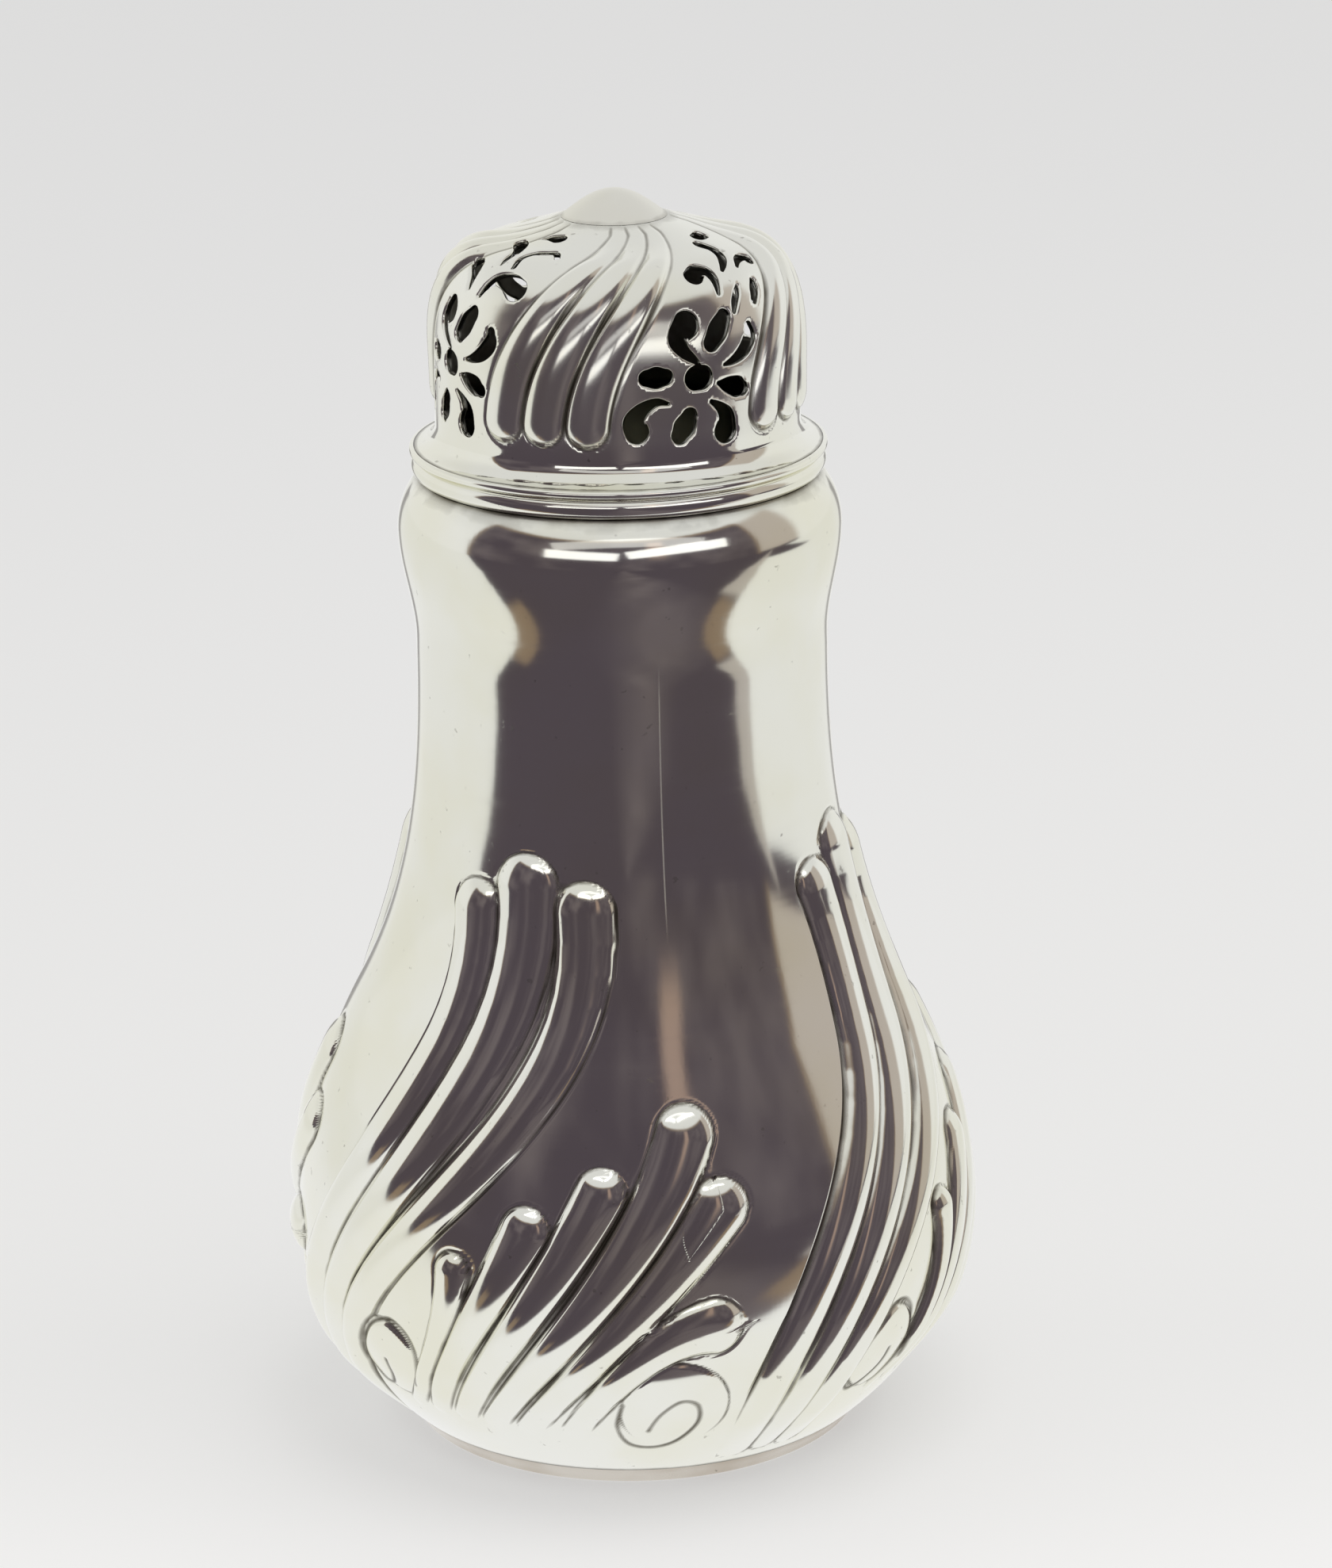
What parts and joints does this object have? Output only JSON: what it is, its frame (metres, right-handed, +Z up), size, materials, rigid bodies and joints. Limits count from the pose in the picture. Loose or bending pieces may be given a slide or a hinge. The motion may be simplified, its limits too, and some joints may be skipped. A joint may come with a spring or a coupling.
{
  "type": "sugar caster",
  "caption": "Silver sugar caster with a pear-shaped body chased in swirling lobes and a pierced, fluted lift-off cover with a low button finial",
  "frame": {"origin": "middle of the foot ring's underside", "axes": "+Z up along the caster's axis, the pictured front faces -Y, +X to the right of the picture"},
  "size_m": [0.0705, 0.0705, 0.127],
  "materials": {
    "silver": "polished silver, lightly tarnished in the creases, fine wear scratches",
    "dull_silver": "worn, dull silver with tarnish",
    "cover_silver": "polished silver, tarnish round the piercings and the finial"
  },
  "bodies": {
    "caster_body": {"body_shell": "silver", "base_disc": "dull_silver", "foot_ring": "dull_silver", "neck_rim": "silver"},
    "cover": {"cover_dome": "cover_silver", "cover_rim": "cover_silver", "cover_bezel": "cover_silver", "finial": "cover_silver"}
  },
  "joints": [
    {"name": "cover_lift", "type": "slide", "parent": "caster_body", "child": "cover", "axis": [0, 0, 1], "range_m": [0, 0.024]}
  ]
}
